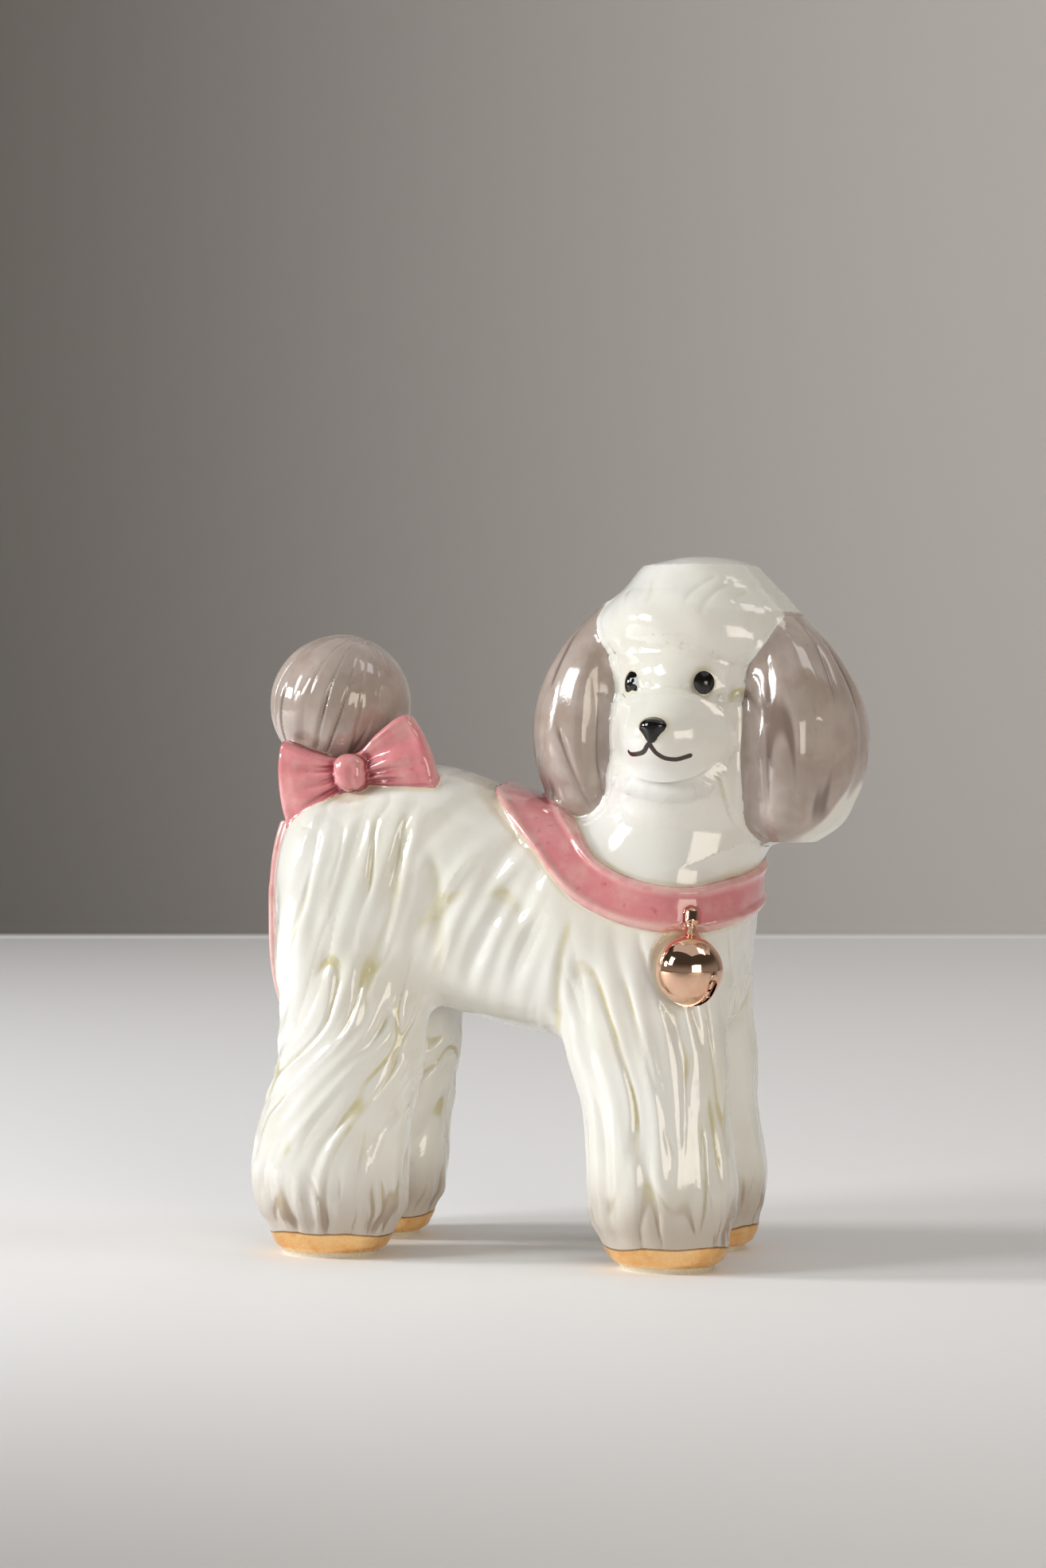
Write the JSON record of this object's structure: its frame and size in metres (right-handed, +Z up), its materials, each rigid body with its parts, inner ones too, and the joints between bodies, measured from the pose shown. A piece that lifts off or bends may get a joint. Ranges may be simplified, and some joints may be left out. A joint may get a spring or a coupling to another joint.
{
  "type": "ceramic dog figurine",
  "caption": "Glazed ceramic standing poodle with its head turned to one side, puff ears, pompom tail, pink bow and collar ribbon, gold paws and a bell.",
  "frame": {"origin": "on the shelf, under the middle of the figure's outline", "axes": "+X the way the dog's body points, +Y to the dog's left, +Z up; the turned face looks along -Y"},
  "size_m": [0.1559, 0.0702, 0.1743],
  "materials": {
    "cream_glaze": "gloss",
    "taupe_glaze": "gloss",
    "pink_glaze": "gloss",
    "gold_lustre": "metallic lustre",
    "rose_gold_lustre": "mirror lustre",
    "black_glaze": "gloss",
    "bare_biscuit": "matt unglazed"
  },
  "bodies": {
    "root": {"bell_stem": "rose_gold_lustre", "bow_front_loop": "pink_glaze", "bow_knot": "pink_glaze", "bow_rear_loop": "pink_glaze", "collar_ribbon": "pink_glaze", "front_left_foot_pad": "bare_biscuit", "front_left_leg": "cream_glaze", "front_left_paw": "gold_lustre", "front_right_foot_pad": "bare_biscuit", "front_right_leg": "cream_glaze", "front_right_paw": "gold_lustre", "head_casting": "cream_glaze", "jingle_bell": "rose_gold_lustre", "left_ear": "taupe_glaze", "left_eye": "black_glaze", "muzzle": "cream_glaze", "nose_tip": "black_glaze", "rear_left_foot_pad": "bare_biscuit", "rear_left_leg": "cream_glaze", "rear_left_paw": "gold_lustre", "rear_right_foot_pad": "bare_biscuit", "rear_right_leg": "cream_glaze", "rear_right_paw": "gold_lustre", "right_ear": "taupe_glaze", "right_eye": "black_glaze", "rump_streamer": "pink_glaze", "tail_pompom": "taupe_glaze", "tail_stem": "cream_glaze", "topknot": "cream_glaze", "torso_casting": "cream_glaze"}
  },
  "joints": []
}
